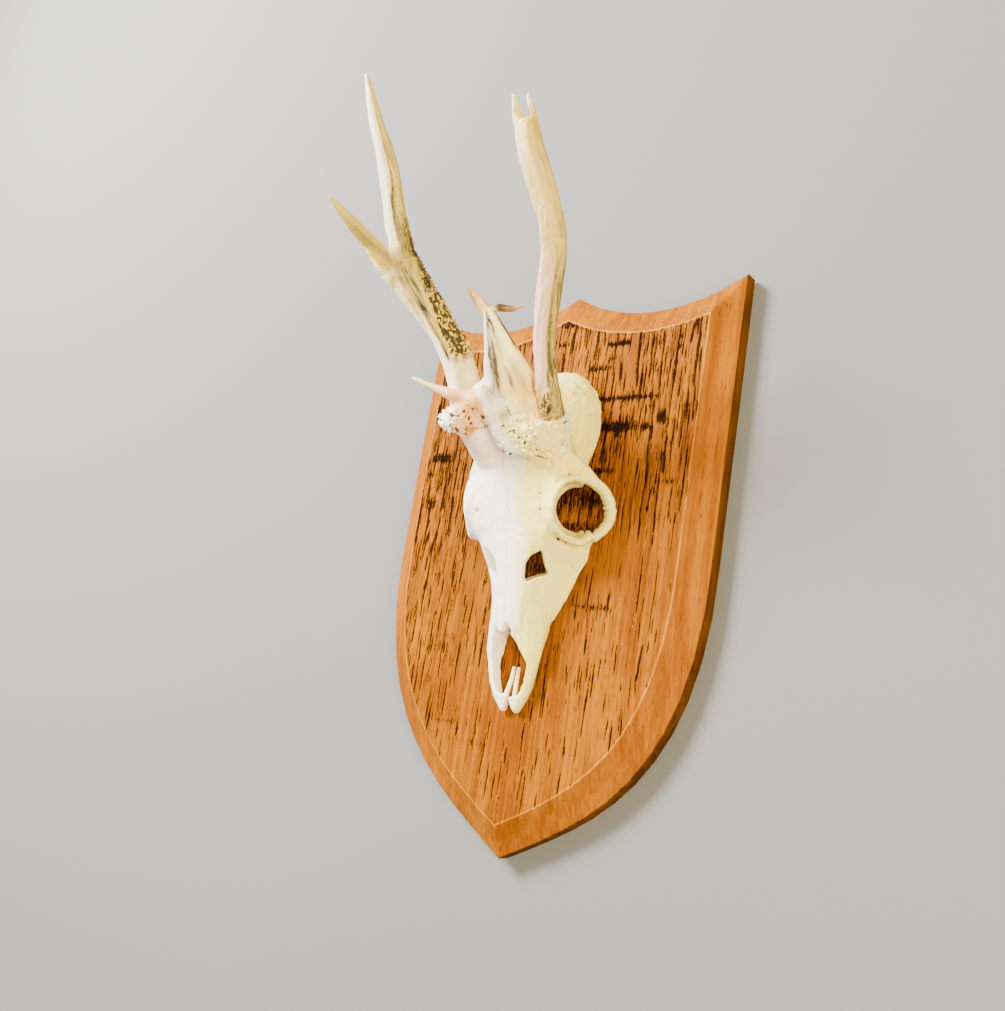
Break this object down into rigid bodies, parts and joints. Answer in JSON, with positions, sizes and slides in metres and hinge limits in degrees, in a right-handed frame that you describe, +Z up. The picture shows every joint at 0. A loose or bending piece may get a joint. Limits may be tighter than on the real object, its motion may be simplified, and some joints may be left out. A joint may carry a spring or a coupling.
{
  "type": "roe deer skull and antlers on a shield",
  "caption": "Bleached upper skull of a roe buck, its antlers malformed with an extra branching growth between them, fixed to a chamfered oak shield that hangs flat on a wall.",
  "frame": {"origin": "on the shield's back face, on its centre line, 160 mm above its bottom point", "axes": "+Z up the wall, +Y into the wall, -Y out of the shield's face, +X to the viewer's right, which is the deer's left"},
  "size_m": [0.211, 0.1504, 0.3867],
  "materials": {
    "bone": "dry bleached bone, white to cream, faintly satin",
    "antler": "weathered antler, cream to olive with brown grooves and pitted, pearled bases",
    "oak": "rough-sawn oak under warm amber varnish, with dark pores and saw marks",
    "steel": "plain zinc-grey screws"
  },
  "bodies": {
    "root": {"shield_board": "oak", "fixing_screw_upper": "steel", "fixing_screw_lower": "steel", "premaxilla_left": "bone", "premaxilla_right": "bone", "maxilla_left": "bone", "maxilla_right": "bone", "cheekbone_left": "bone", "cheekbone_right": "bone", "nasals": "bone", "frontal": "bone", "braincase": "bone", "pedicle_left": "bone", "pedicle_right": "bone", "coronet_left": "antler", "coronet_right": "antler", "antler_left_beam": "antler", "antler_left_front_point": "antler", "antler_left_rear_point": "antler", "antler_right_beam": "antler", "antler_right_front_tine": "antler", "antler_right_rear_tine": "antler", "growth_base": "antler", "growth_upper_spike": "antler", "growth_side_spike": "antler", "growth_blade": "antler", "growth_hook": "antler"}
  },
  "joints": []
}
